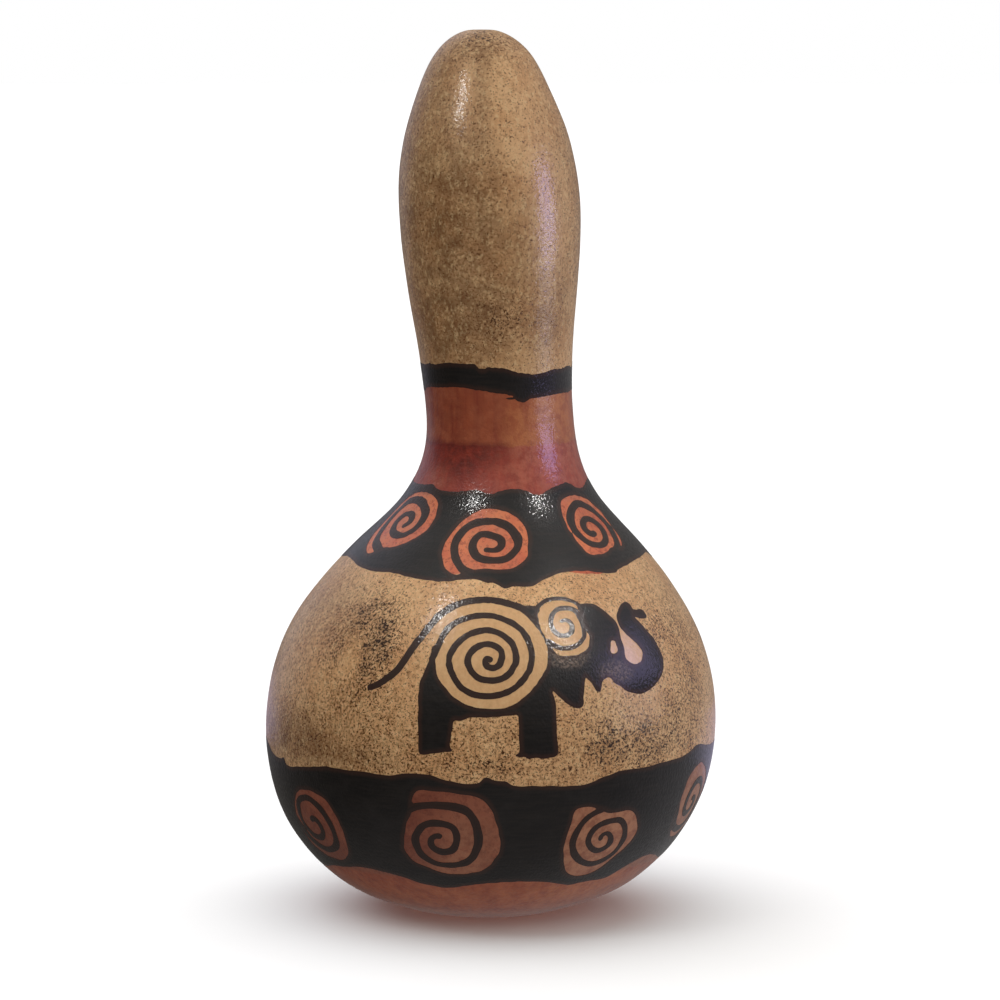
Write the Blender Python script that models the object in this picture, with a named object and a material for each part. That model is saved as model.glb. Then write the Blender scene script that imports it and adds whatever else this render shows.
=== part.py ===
"""A dried bottle gourd, the body of a painted folk ornament: one grown piece, standing on its own base.

Metres, +Z up, the front of the gourd towards -Y. The origin is the middle of the flat spot it stands on.
The shell is turned round a gently wandering middle line, from calliper readings taken up its height.
"""

import math

import bmesh
import bpy
import numpy as np

MM = 0.001

# Driving dimensions, in millimetres.
GOURD_HEIGHT = 240.0
BELLY_HEIGHT = 52.0
BELLY_RADIUS = 61.9
WAIST_HEIGHT = 141.0
WAIST_RADIUS = 20.2
NECK_HEIGHT = 190.0
NECK_RADIUS = 24.7
FOOT_RADIUS = 20.0
STEM_SCAR_RADIUS = 2.5

# Calliper readings from the foot to the stem scar: height and radius.
CALLIPER_READINGS = [
    (0.0, FOOT_RADIUS),
    (1.6, 26.8),
    (6.0, 37.6),
    (15.0, 48.6),
    (30.0, 58.2),
    (BELLY_HEIGHT, BELLY_RADIUS),
    (74.0, 57.5),
    (90.0, 47.9),
    (102.0, 37.3),
    (113.0, 27.0),
    (125.0, 21.3),
    (WAIST_HEIGHT, WAIST_RADIUS),
    (163.0, 22.3),
    (NECK_HEIGHT, NECK_RADIUS),
    (212.0, 22.2),
    (226.0, 17.0),
    (235.0, 11.8),
    (239.2, 6.0),
    (GOURD_HEIGHT, STEM_SCAR_RADIUS),
]

# How far the middle of the gourd has grown to the right (+X) and to the back (+Y) at a few heights.
MIDDLE_LINE = [
    (0.0, -1.5, 0.4),
    (BELLY_HEIGHT, 0.0, 0.0),
    (90.0, 1.2, -0.6),
    (122.0, 2.9, -0.4),
    (150.0, 1.5, 0.3),
    (NECK_HEIGHT, -0.2, 0.9),
    (GOURD_HEIGHT, -2.5, 0.4),
]

# The shell isn't quite round: it is this much wider across one way than the other, as a share of its radius.
OUT_OF_ROUND = 0.006
WIDE_WAY = math.radians(35.0)

# How finely the shell is faceted.
SIDES = 64
STEPS_BETWEEN_READINGS = 3
SHARPEST_SMOOTH_EDGE = math.radians(40.0)

SKIN_COLOUR = (0.37, 0.22, 0.115, 1.0)
SKIN_ROUGHNESS = 0.3


def clear_scene():
    for leftover in list(bpy.data.objects):
        bpy.data.objects.remove(leftover, do_unlink=True)


def smooth_curve(knots, values, first_slope, last_slope):
    """The cubic curve through the values whose bend never jumps, as a springy spline bends round its pins."""
    gaps = np.diff(knots)
    rises = np.diff(values) / gaps
    count = len(knots)
    left = np.eye(count)
    right = np.zeros(count)
    right[0] = first_slope
    right[-1] = last_slope
    for i in range(1, count - 1):
        left[i, i - 1] = 1.0 / gaps[i - 1]
        left[i, i] = 2.0 / gaps[i - 1] + 2.0 / gaps[i]
        left[i, i + 1] = 1.0 / gaps[i]
        right[i] = 3.0 * (rises[i - 1] / gaps[i - 1] + rises[i] / gaps[i])
    slopes = np.linalg.solve(left, right)

    def value_at(where):
        i = np.clip(np.searchsorted(knots, where, side="right") - 1, 0, count - 2)
        t = (where - knots[i]) / gaps[i]
        start = (1.0 + 2.0 * t) * (1.0 - t) ** 2 * values[i] + t * (1.0 - t) ** 2 * gaps[i] * slopes[i]
        end = t * t * (3.0 - 2.0 * t) * values[i + 1] + t * t * (t - 1.0) * gaps[i] * slopes[i + 1]
        return start + end

    return value_at


def wall_outline():
    """Radius and height along the wall, from the foot's edge to the stem scar's edge."""
    heights, radii = (np.array(column) for column in zip(*CALLIPER_READINGS))
    along = np.concatenate([[0.0], np.cumsum(np.hypot(np.diff(radii), np.diff(heights)))])
    radius_at = smooth_curve(along, radii, 1.0, -1.0)
    height_at = smooth_curve(along, heights, 0.0, 0.0)
    stations = [np.linspace(a, b, STEPS_BETWEEN_READINGS, endpoint=False) for a, b in zip(along, along[1:])]
    stations = np.append(np.concatenate(stations), along[-1])
    return radius_at(stations), height_at(stations)


def middle_curve(heights, offsets):
    """One sideways shift of the middle line, with each end carried on straight."""
    first_slope = (offsets[1] - offsets[0]) / (heights[1] - heights[0])
    last_slope = (offsets[-1] - offsets[-2]) / (heights[-1] - heights[-2])
    return smooth_curve(heights, offsets, first_slope, last_slope)


def middle_at(height):
    """Where the middle of the gourd is at a height, to the right and to the back."""
    heights, right, back = (np.array(column) for column in zip(*MIDDLE_LINE))
    return middle_curve(heights, right)(height), middle_curve(heights, back)(height)


def ring_of_points(radius, height):
    """One level ring of the wall, in metres."""
    right, back = middle_at(height)
    points = []
    for i in range(SIDES):
        turn = 2.0 * math.pi * i / SIDES
        reach = radius * (1.0 + OUT_OF_ROUND * math.cos(2.0 * (turn - WIDE_WAY)))
        points.append(((right + reach * math.sin(turn)) * MM, (back - reach * math.cos(turn)) * MM, height * MM))
    return points


def gourd_mesh():
    """The closed shell: rings bridged one to the next, a flat foot below and a flat stem scar on top."""
    bm = bmesh.new()
    rings = []
    for radius, height in zip(*wall_outline()):
        rings.append([bm.verts.new(point) for point in ring_of_points(radius, height)])
    for lower, upper in zip(rings, rings[1:]):
        for i in range(SIDES):
            j = (i + 1) % SIDES
            bm.faces.new((lower[i], lower[j], upper[j], upper[i]))
    bm.faces.new(list(reversed(rings[0])))
    bm.faces.new(rings[-1])
    bmesh.ops.recalc_face_normals(bm, faces=bm.faces)
    mesh = bpy.data.meshes.new("gourd")
    bm.to_mesh(mesh)
    bm.free()
    mesh.shade_smooth()
    mesh.set_sharp_from_angle(angle=SHARPEST_SMOOTH_EDGE)
    return mesh


def stand_over_origin(mesh):
    """Slides the mesh sideways so that the middle of its outline from above is at the origin."""
    corners = np.array([vertex.co for vertex in mesh.vertices])
    middle = (corners.min(axis=0) + corners.max(axis=0)) / 2.0
    for vertex in mesh.vertices:
        vertex.co.x -= middle[0]
        vertex.co.y -= middle[1]


def skin_material():
    """The dried skin under its clear coat: warm tan, fairly glossy."""
    material = bpy.data.materials.new("shell")
    material.use_nodes = True
    shader = material.node_tree.nodes["Principled BSDF"]
    shader.inputs["Base Color"].default_value = SKIN_COLOUR
    shader.inputs["Roughness"].default_value = SKIN_ROUGHNESS
    shader.inputs["Metallic"].default_value = 0.0
    return material


def build_gourd():
    mesh = gourd_mesh()
    stand_over_origin(mesh)
    mesh.materials.append(skin_material())
    gourd = bpy.data.objects.new("gourd", mesh)
    bpy.context.scene.collection.objects.link(gourd)
    return gourd


def main():
    clear_scene()
    build_gourd()


main()
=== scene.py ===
# %% [markdown]
# # A painted bottle gourd
#
# The object is a dried bottle gourd: one hard, hollow fruit with a round belly, a slim waist and a long
# neck. Its skin is tan, spattered with fine black paint, stained terracotta in rings, and painted in black
# with bands, coils and an elephant. A coat of varnish covers all of it.
#
# The imported model gives the shape and the size. This script loads it and dresses it.

# %% Load the imported model
import math

import bpy
import numpy as np
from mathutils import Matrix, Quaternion, Vector


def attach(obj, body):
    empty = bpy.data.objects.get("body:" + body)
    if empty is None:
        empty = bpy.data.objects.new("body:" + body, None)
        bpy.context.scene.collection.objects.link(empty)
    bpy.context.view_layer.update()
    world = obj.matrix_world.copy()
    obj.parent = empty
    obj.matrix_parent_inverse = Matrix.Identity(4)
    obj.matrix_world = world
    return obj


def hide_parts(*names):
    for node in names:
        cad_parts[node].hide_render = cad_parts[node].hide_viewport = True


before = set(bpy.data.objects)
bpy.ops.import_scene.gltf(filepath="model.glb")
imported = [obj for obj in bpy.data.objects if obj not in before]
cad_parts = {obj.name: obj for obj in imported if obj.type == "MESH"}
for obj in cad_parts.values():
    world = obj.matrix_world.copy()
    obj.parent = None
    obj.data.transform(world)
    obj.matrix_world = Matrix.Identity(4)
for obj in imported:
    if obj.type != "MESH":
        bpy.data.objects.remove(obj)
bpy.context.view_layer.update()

MM = 0.001  # a millimetre, in metres
TURN = 2 * math.pi  # a whole turn, in radians


# %% [markdown]
# ## The wall of the gourd
#
# A gourd is nearly a turned shape, so its wall follows calliper readings: a height and a radius at each
# station. A spline through the readings gives the smooth wall, and a second one lets the middle line wander
# as the fruit grew. These are the readings that the solid was built from, so the skin and the paint lie
# exactly on it.
#
# Every mark on the gourd is placed by two numbers. The azimuth says how far round it is: 0 is the front,
# and it grows to the right. The distance along the wall says how far up it is, as a tape laid on the skin
# would measure it.

# %% Calliper readings and the springy curve through them
CALLIPER_READINGS = [  # height and radius, in mm
    (0, 20), (1.6, 26.8), (6, 37.6), (15, 48.6), (30, 58.2), (52, 61.9), (74, 57.5), (90, 47.9),
    (102, 37.3), (113, 27), (125, 21.3), (141, 20.2), (163, 22.3), (190, 24.7), (212, 22.2), (226, 17),
    (235, 11.8), (239.2, 6), (240, 2.5),
]
MIDDLE_LINE = [  # height, shift to the right and shift to the back, in mm
    (0, -1.5, 0.4), (52, 0, 0), (90, 1.2, -0.6), (122, 2.9, -0.4), (150, 1.5, 0.3), (190, -0.2, 0.9),
    (240, -2.5, 0.4),
]
OUT_OF_ROUND = 0.006  # the shell is wider by this share of its radius across one way
WIDE_WAY = math.radians(35)


def cubic(t, start, leaving, end, arriving):
    """A smooth way from a start to an end while t goes from 0 to 1, leaving and arriving at given slopes."""
    rest = 1 - t
    return rest * rest * ((1 + 2 * t) * start + t * leaving) + t * t * ((3 - 2 * t) * end - rest * arriving)


def springy_curve(knots, values, first_slope, last_slope):
    """The cubic curve through the values whose bend never jumps."""
    gaps = np.diff(knots)
    rises = np.diff(values) / gaps
    count = len(knots)
    sums = np.eye(count)
    wanted = np.zeros(count)
    wanted[0], wanted[-1] = first_slope, last_slope
    for i in range(1, count - 1):
        sums[i, i - 1 : i + 2] = 1 / gaps[i - 1], 2 / gaps[i - 1] + 2 / gaps[i], 1 / gaps[i]
        wanted[i] = 3 * (rises[i - 1] / gaps[i - 1] + rises[i] / gaps[i])
    slopes = np.linalg.solve(sums, wanted)

    def value_at(where):
        i = np.clip(np.searchsorted(knots, where, side="right") - 1, 0, count - 2)
        t = (where - knots[i]) / gaps[i]
        return cubic(t, values[i], gaps[i] * slopes[i], values[i + 1], gaps[i] * slopes[i + 1])

    return value_at


heights, radii = (np.array(column) for column in zip(*CALLIPER_READINGS))
tape = np.concatenate([[0], np.cumsum(np.hypot(np.diff(radii), np.diff(heights)))])
WALL_LENGTH = tape[-1]
radius_at = springy_curve(tape, radii, 1, -1)
height_at = springy_curve(tape, heights, 0, 0)


def middle_curve(heights, offsets):
    """One sideways shift of the middle line, with each end carried on straight."""
    first_slope = (offsets[1] - offsets[0]) / (heights[1] - heights[0])
    last_slope = (offsets[-1] - offsets[-2]) / (heights[-1] - heights[-2])
    return springy_curve(heights, offsets, first_slope, last_slope)


middle_heights, to_right, to_back = (np.array(column) for column in zip(*MIDDLE_LINE))
right_at = middle_curve(middle_heights, to_right)
back_at = middle_curve(middle_heights, to_back)
print("wall length, mm:", round(float(WALL_LENGTH), 1))

# %% [markdown]
# A grown shell is never a perfect turning. Under a lamp its highlights bend over shallow hollows that the
# callipers hardly feel. A few slow waves, each a tenth of a millimetre deep or less, give that. They fade
# out towards the foot, which stays flat, and towards the tip. Skin and paint both read the wall from
# `wall_point`, so the paint follows every hollow.

# %% Any point on the wall, with its shallow hollows
HOLLOWS = [  # depth in mm, waves round, waves up the wall, turn in radians
    (0.1, 2, 3.1, 0.4), (0.08, 3, 5.3, 2.1), (0.07, 5, 2.2, 4), (0.05, 4, 8.7, 1.2), (0.035, 8, 6.4, 5.1),
    (0.03, 7, 13, 3.3),
]
FADE_LENGTH = 12
FEELER = 0.05  # how far up and down the wall its slope is felt, in mm


def hollows_at(azimuth, along):
    """How far the wall stands out or in from the turned shape, in mm."""
    depth = 0
    for size, round_waves, up_waves, turn in HOLLOWS:
        up = TURN * up_waves * along / WALL_LENGTH
        depth = depth + size * np.sin(round_waves * azimuth + turn + np.sin(up + turn)) * np.cos(up - turn)
    fade = np.clip(np.minimum(along, WALL_LENGTH - along) / FADE_LENGTH, 0, 1)
    return depth * fade * fade


def wall_point(azimuth, along, lift=0):
    """The point in metres at an azimuth and a distance up the wall, lifted off the wall by some mm."""
    azimuth, along, lift = np.broadcast_arrays(azimuth, along, lift)
    below, above = np.clip(along - FEELER, 0, WALL_LENGTH), np.clip(along + FEELER, 0, WALL_LENGTH)
    widening, rising = radius_at(above) - radius_at(below), height_at(above) - height_at(below)
    slope = np.hypot(widening, rising)
    reach = radius_at(along) * (1 + OUT_OF_ROUND * np.cos(2 * (azimuth - WIDE_WAY)))
    reach = reach + hollows_at(azimuth, along) + lift * rising / slope
    height = height_at(along)
    x = right_at(height) + reach * np.sin(azimuth)
    y = back_at(height) - reach * np.cos(azimuth)
    return np.stack([x, y, height - lift * widening / slope], axis=-1) * MM


print("widest point of the belly, m:", wall_point(TURN / 4, 73).round(4))

# %% [markdown]
# ## The skin
#
# The skin is one closed piece: rings of points bridged by four-sided faces, with a flat foot below and the
# stem scar on top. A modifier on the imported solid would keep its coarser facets, so the skin is made afresh
# from the wall.

# %% The closed skin
SKIN_SIDES = 320
SKIN_RINGS = 230
RING_BUNCHING = 0.02  # draws the rings together near the foot and the tip
SHARP_EDGE = math.radians(40)


def new_piece(name, points, faces):
    """A mesh object of these points and faces, shaded smooth, in the scene."""
    mesh = bpy.data.meshes.new(name)
    mesh.from_pydata([tuple(point) for point in points], [], faces)
    mesh.shade_smooth()
    piece = bpy.data.objects.new(name, mesh)
    bpy.context.scene.collection.objects.link(piece)
    return piece


around = np.arange(SKIN_SIDES) * TURN / SKIN_SIDES
spread = np.linspace(0, 1, SKIN_RINGS)
ring_alongs = WALL_LENGTH * (spread - RING_BUNCHING * np.sin(TURN * spread))
skin_azimuths, skin_alongs = (grid.ravel() for grid in np.meshgrid(around, ring_alongs))
last_ring = SKIN_SIDES * (SKIN_RINGS - 1)
skin_faces = []
for ring in range(0, last_ring, SKIN_SIDES):
    for side in range(SKIN_SIDES):
        here, beside = ring + side, ring + (side + 1) % SKIN_SIDES
        skin_faces.append((here, beside, beside + SKIN_SIDES, here + SKIN_SIDES))
skin_faces.append(tuple(reversed(range(SKIN_SIDES))))
skin_faces.append(tuple(range(last_ring, last_ring + SKIN_SIDES)))
gourd_skin = new_piece("gourd_skin", wall_point(skin_azimuths, skin_alongs), skin_faces)
gourd_skin.data.set_sharp_from_angle(angle=SHARP_EDGE)
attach(gourd_skin, "root")
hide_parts("gourd")
print("skin faces:", len(gourd_skin.data.polygons))

# %% [markdown]
# ## Brush work, drawn as depths
#
# The black paint lies on the skin as a thin film with a real edge. It could be a colour in the skin's
# material, but then the edges would blur in any copy of the model, and nothing would stand up from the
# skin.
#
# Each painted area is first drawn as a depth: for every place on a fine grid over the wall, how many
# millimetres that place is inside the paint. Outside it the depth is negative. Depths are easy to draw
# with: the larger of two depths is both strokes together, and the smaller of one depth and another turned
# negative is a stroke with a bare place left in it.

# %% Flowing lines through given places
LINE_STEPS = 6
LEAST_GAP = 1e-4  # keeps two places that fall together from dividing by nought
EIGHTH = TURN / 8


def flowing(points, closed=False):
    """A smooth line through given points, as a brush would pass through them."""
    points = np.array(points, dtype=float)
    if closed:
        before, after = points[-1:], points[:2]
    else:
        before, after = 2 * points[:1] - points[1:2], 2 * points[-1:] - points[-2:-1]
    padded = np.concatenate([before, points, after])
    line = []
    for a, b, c, d in zip(padded, padded[1:], padded[2:], padded[3:]):
        ab, bc, cd = (max(np.hypot(*step) ** 0.5, LEAST_GAP) for step in (b - a, c - b, d - c))
        leaving = (c - b) + bc * ((b - a) / ab - (c - a) / (ab + bc))
        arriving = (c - b) + bc * ((d - c) / cd - (d - b) / (bc + cd))
        for t in np.arange(LINE_STEPS) / LINE_STEPS:
            line.append(cubic(t, b, leaving, c, arriving))
    if not closed:
        line.append(points[-1])
    return np.array(line)


def swung(eye, reaches, angles):
    """Places at these reaches from an eye, each in its own direction, as a pair of compasses sets them."""
    return np.stack([eye[0] + reaches * np.cos(angles), eye[1] + reaches * np.sin(angles)], axis=-1)


eight_places = swung((0, 0), 5, np.arange(8) * EIGHTH)
strays = 5 - np.hypot(*flowing(eight_places, closed=True).T).min()
print("a line through eight places of a circle of radius 5 strays from it by", round(float(strays), 3))

# %% Depths of strokes and of filled outlines
FAR = 1000  # in mm, farther than any two places on the gourd
SHORTEST = 1e-9  # keeps a piece of no length from dividing by nought


def nearest_on(u, v, start, end):
    """How far each place is from a straight piece of a line, and the share of it up to the nearest point."""
    across, up = end - start
    share = ((u - start[0]) * across + (v - start[1]) * up) / max(across * across + up * up, SHORTEST)
    share = np.clip(share, 0, 1)
    return np.hypot(u - start[0] - share * across, v - start[1] - share * up), share


def stroke_depth(u, v, line, half_widths):
    """The depth inside a brush stroke that follows a line."""
    depth = np.full(u.shape, -FAR, dtype=float)
    for start, end, first, last in zip(line, line[1:], half_widths, half_widths[1:]):
        distance, share = nearest_on(u, v, start, end)
        depth = np.maximum(depth, first + (last - first) * share - distance)
    return depth


def filled_depth(u, v, points):
    """The depth inside the closed outline that flows through these points."""
    outline = flowing(points, closed=True)
    inside = np.zeros(u.shape, dtype=bool)
    nearest = np.full(u.shape, FAR, dtype=float)
    for start, end in zip(outline, np.roll(outline, -1, axis=0)):
        nearest = np.minimum(nearest, nearest_on(u, v, start, end)[0])
        across, up = end - start
        if up != 0:
            spans = (start[1] > v) != (end[1] > v)
            inside ^= spans & (u < start[0] + (v - start[1]) / up * across)
    return np.where(inside, nearest, -nearest)


middle = np.zeros(1)
print("a disc of radius 5 is", filled_depth(middle, middle, eight_places)[0].round(2), "deep in its middle")

# %% [markdown]
# Small motifs are drawn flat, in millimetres right and up from their own centre, as a painter thinks of
# them. `flat_place` turns places on the wall into those flat coordinates. The brush never runs quite true,
# so a gentle seeded wobble is added to every depth.

# %% From the wall to a flat drawing, and the wobble of the brush
WOBBLE = 0.13  # how far a painted edge sways, in mm
SHORTEST_WAVE, LONGEST_WAVE = 3, 11  # in mm, where the wall has its mean radius
MEAN_RADIUS = 45
wobble_waves = np.random.default_rng(11).uniform(0, 1, (14, 3))


def flat_place(azimuths, alongs, centre):
    """Right and up from a centre given as (azimuth in degrees, distance along), in mm over the skin."""
    turned = (azimuths - math.radians(centre[0]) + TURN / 2) % TURN - TURN / 2
    return radius_at(alongs) * turned, alongs - centre[1]


def brush_wobble(azimuths, alongs):
    """A few crossing waves that move a painted edge in and out and close up round the wall."""
    wobble = 0
    for length, lean, turn in wobble_waves:
        wave = TURN / (SHORTEST_WAVE + (LONGEST_WAVE - SHORTEST_WAVE) * length)
        rounds = round(wave * MEAN_RADIUS * math.cos(math.pi * lean))
        rise = wave * math.sin(math.pi * lean)
        wobble = wobble + np.sin(rounds * azimuths + rise * alongs + TURN * turn)
    return WOBBLE * wobble / math.sqrt(len(wobble_waves))


print("wobble at the front, mm:", round(float(brush_wobble(0, 130)), 3))

# %% [markdown]
# ## From a depth to a film of paint
#
# A grid cell that is wholly inside the paint becomes one face. A cell that the edge crosses is cut where
# the depth passes zero, so the film ends on the drawn line and not on the grid's steps.

# %% Cut the film out of the grid
SMALLEST_DEPTH = 0.04  # in mm, so that no edge runs straight through a place of the grid


def cut_film(azimuths, alongs, depth, goes_round):
    """The places, depths and faces of the film, cut along the line where the depth is zero."""
    depth = np.where(np.abs(depth) < SMALLEST_DEPTH, np.copysign(SMALLEST_DEPTH, depth), depth)
    columns = len(azimuths)
    step = azimuths[1] - azimuths[0]
    numbers, places = {}, []

    def numbered(key, azimuth, along, how_deep):
        if key not in numbers:
            numbers[key] = len(places)
            places.append((azimuth, along, how_deep))
        return numbers[key]

    def crossing(here, there):
        (i, j), (k, m) = sorted([here, there])
        key = (i, j, k, m)
        share = depth[i, j] / (depth[i, j] - depth[k, m])
        if i != k:
            return numbered(key, azimuths[j], alongs[i] + share * (alongs[k] - alongs[i]), 0)
        if m - j > 1:  # the cell that closes the ring, from the last column on to the first
            j, share = m, 1 - share
        return numbered(key, azimuths[j] + share * step, alongs[i], 0)

    faces = []
    inside = depth > 0
    beside = np.roll(inside, -1, axis=1)
    touched = inside[:-1] | inside[1:] | beside[:-1] | beside[1:]
    if not goes_round:
        touched[:, -1] = False
    for i, j in np.argwhere(touched):
        right = (j + 1) % columns
        corners = [(i, j), (i, right), (i + 1, right), (i + 1, j)]
        face = []
        for here, following in zip(corners, corners[1:] + corners[:1]):
            if inside[here]:
                face.append(numbered(here, azimuths[here[1]], alongs[here[0]], depth[here]))
            if inside[here] != inside[following]:
                face.append(crossing(here, following))
        faces.append(tuple(face))
    return np.array(places), faces


places, faces = cut_film(np.arange(4), np.arange(4), np.pad([[1, 1], [1, 1]], 1, constant_values=-1), False)
print("four deep places among twelve bare ones give a film of", len(faces), "faces")

# %% [markdown]
# A Solidify modifier gives the film its thickness, into the skin, and closes it all round. Its top stands a
# twentieth of a millimetre proud and slopes a little towards the edge, as a stroke of paint dries. The
# depth is kept on the film's points, so that its material can let the brown skin through near the edge.

# %% Give the film its thickness
EDGE_LIFT, FULL_LIFT = 0.05, 0.056  # how far the film stands proud, in mm
ROUNDED_EDGE = 0.4  # how far in from its edge the film still rises, in mm
FILM_THICKNESS = 0.25


def lay_paint(name, azimuths, alongs, depth, goes_round=False):
    """A closed film of black paint over the skin where the depth is positive."""
    places, faces = cut_film(azimuths, alongs, depth, goes_round)
    rise = np.clip(places[:, 2] / ROUNDED_EDGE, 0, 1)
    lift = EDGE_LIFT + (FULL_LIFT - EDGE_LIFT) * rise * (2 - rise)
    film = new_piece(name, wall_point(places[:, 0], places[:, 1], lift), faces)
    thicken = film.modifiers.new("paint thickness", "SOLIDIFY")
    thicken.thickness = FILM_THICKNESS * MM
    thicken.offset = -1
    thick_mesh = bpy.data.meshes.new_from_object(film.evaluated_get(bpy.context.evaluated_depsgraph_get()))
    film.modifiers.clear()
    film.data = thick_mesh
    thick_mesh.shade_smooth()
    thick_mesh.set_sharp_from_angle(angle=SHARP_EDGE)
    kept = thick_mesh.attributes.new("paint_depth", "FLOAT", "POINT")
    kept.data.foreach_set("value", np.resize(places[:, 2], len(thick_mesh.vertices)).astype(np.float32))
    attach(film, "root")
    print(name, "faces:", len(thick_mesh.polygons))
    return film


# %% [markdown]
# ## The bands
#
# Three black bands go round the gourd: a narrow one high on the neck, a wide one on the shoulder and the
# widest low on the belly. Their edges were brushed freehand, so each edge is a list of places and
# not a circle. Round the back, where no measure is known, the edge is carried on with a seeded sway of the
# same size.

# %% Freehand band edges
CARRIED_STEP = 9  # degrees between the places of an edge that is carried on round the back
CLOSING_GAP = 5  # degrees that stay free before the first place comes round again


def freehand_edge(places, level, sway, seed):
    """The distance along the wall of a band's edge at any azimuth, from (degrees, mm) places in front."""
    rng = np.random.default_rng(seed)
    first, last = places[0][0], places[-1][0]
    hidden = np.arange(last + CARRIED_STEP, first + 360 - CLOSING_GAP, CARRIED_STEP)
    ring = [*places, *((azimuth, level + sway * rng.uniform(-1, 1)) for azimuth in hidden)]
    ring = [(a - 360, s) for a, s in ring[-3:]] + ring + [(a + 360, s) for a, s in ring[:3]]
    line = flowing(ring)

    def along_at(azimuths):
        degrees = (np.degrees(azimuths) - first) % 360 + first
        return np.interp(degrees, line[:, 0], line[:, 1])

    return along_at


neck_top = freehand_edge([
    (-71, 183.3), (-60, 183.9), (-51, 184), (-41, 184.5), (-32, 184.7), (-23, 184.6), (-15, 184.4),
    (-13.5, 183.6), (-8, 183.5), (-6, 183.95), (3, 183.6), (13, 182.9), (21, 182), (29, 181.7), (37, 182),
    (44, 182.5), (61, 182.75), (64, 183.1), (71, 182.9), (79, 182.4),
], 183.2, 0.7, 21)
neck_foot = freehand_edge([
    (-71, 177.1), (-60, 177.4), (-51, 177.6), (-41, 177.9), (-31, 178.05), (-21, 177.75), (-10, 177.3),
    (-1, 176.9), (7, 176.5), (12, 175.9), (15, 174.7), (22, 174.45), (24, 175), (35, 175.4), (45, 175.7),
    (59, 176), (71, 175.9),
], 176.4, 0.7, 22)
print("neck band at the front, mm along:", neck_foot(0).round(1), "to", neck_top(0).round(1))

# %% [markdown]
# ## Coils in bare medallions
#
# In the two wide bands the painter left round patches bare, and then drew a coil in each with one turn of
# the brush after another, from the eye outwards. The end of the coil runs into the band.
#
# A coil is easy to measure with a ruler: the reach from its eye at each eighth of a turn. The bare patch is
# given by its reach at each sixteenth of a turn, starting to the right. The same few numbers serve for the
# coils round the back, where they are drawn at random from a seed.

# %% A coil and its bare patch
MEDALLION_REACH = 22  # how far round its centre a coil is drawn, in mm
LINE_START, LINE_WIDENING, LINE_SWELL = 0.82, 0.3, 0.08  # as shares of the half width
SWELL_PACE = 23
COIL_WOBBLE = 0.8  # the share of the wobble that a coil takes


def medallion(places_round, places_up, depth, centre, eye, turn, first_angle, reaches, patch, half_width=1):
    """Leaves a bare patch in a band's depth and draws a coil in it, anticlockwise if turn is 1."""
    u, v = flat_place(places_round, places_up, centre)
    near = (np.abs(u) < MEDALLION_REACH) & (np.abs(v) < MEDALLION_REACH)
    u, v = u[near], v[near]
    bare = filled_depth(u, v, swung(eye, patch, np.arange(len(patch)) * TURN / len(patch)))
    line = flowing(swung(eye, reaches, math.radians(first_angle) + turn * EIGHTH * np.arange(len(reaches))))
    grown = np.linspace(0, 1, len(line))
    swell = LINE_SWELL * np.sin(SWELL_PACE * grown + 3 * centre[0])
    coil = stroke_depth(u, v, line, half_width * (LINE_START + LINE_WIDENING * np.sqrt(grown) + swell))
    wobble = brush_wobble(places_round[near], places_up[near])
    depth[near] = np.maximum(np.minimum(depth[near], -bare + wobble), coil + COIL_WOBBLE * wobble)


print("a coil makes a whole turn in", round(TURN / EIGHTH), "reaches")

# %% Coils for the side that the measures don't reach
GUESSED_REACHES, GUESSED_PATCH = 17, 16  # how many of each
FIRST_REACH, REACH_SWAY = 1.2, 0.3  # in mm
PATCH_MARGIN, PATCH_SWAY = 0.6, 0.9  # in mm


def guessed_coils(places, along, size, half_width=1):
    """Coils of the same kind, from a seed, at (azimuth, turn, seed) places round the back."""
    coils = []
    for azimuth, turn, seed in places:
        rng = np.random.default_rng(seed)
        reaches = np.linspace(FIRST_REACH, 1.02 * size, GUESSED_REACHES)
        reaches = reaches + rng.uniform(-REACH_SWAY, REACH_SWAY, GUESSED_REACHES)
        patch = size + PATCH_MARGIN + rng.uniform(-PATCH_SWAY, PATCH_SWAY, GUESSED_PATCH)
        coils.append(dict(centre=(azimuth, along), eye=(0, -0.4), turn=turn, first_angle=rng.uniform(0, 360),
                          half_width=half_width, reaches=reaches, patch=patch))
    return coils


guess = guessed_coils([(0, 1, 1)], 0, 10)[0]
print("a guessed patch reaches", guess["patch"].mean().round(1), "mm on average")

# %% [markdown]
# All three bands are laid in the same way, so one function lays them. It makes an even grid round the wall,
# takes the depth between the band's two edges, draws the coils into it and then any stray dab of the brush.

# %% Lay a band round the wall
BAND_STEP = 0.56  # between the places of the grid, in mm


def lay_band(name, foot, top, span, middle_radius, coils=(), dabs=()):
    """The film of one band, from a grid over a span of the wall that is even at the middle radius."""
    columns = int(TURN * middle_radius / BAND_STEP)
    azimuths = -math.pi + np.arange(columns) * TURN / columns
    alongs = np.arange(*span, BAND_STEP)
    places_round, places_up = np.meshgrid(azimuths, alongs)
    depth = np.minimum(top(places_round) - places_up, places_up - foot(places_round))
    depth = depth + brush_wobble(places_round, places_up)
    for coil in coils:
        medallion(places_round, places_up, depth, **coil)
    for centre, line, half_widths in dabs:
        u, v = flat_place(places_round, places_up, centre)
        depth = np.maximum(depth, stroke_depth(u, v, np.array(line), half_widths))
    return lay_paint(name, azimuths, alongs, depth, goes_round=True)


# A stray touch of the brush just under the band: its centre, its line and its half widths.
DRY_DAB = ((8, 175.3), [(-1.1, 0.25), (0.2, 0.1), (1.5, 0.15)], [0.12, 0.32, 0.3])
neck_band_paint = lay_band("neck_band_paint", neck_foot, neck_top, (172, 187), 21.5, dabs=[DRY_DAB])

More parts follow.
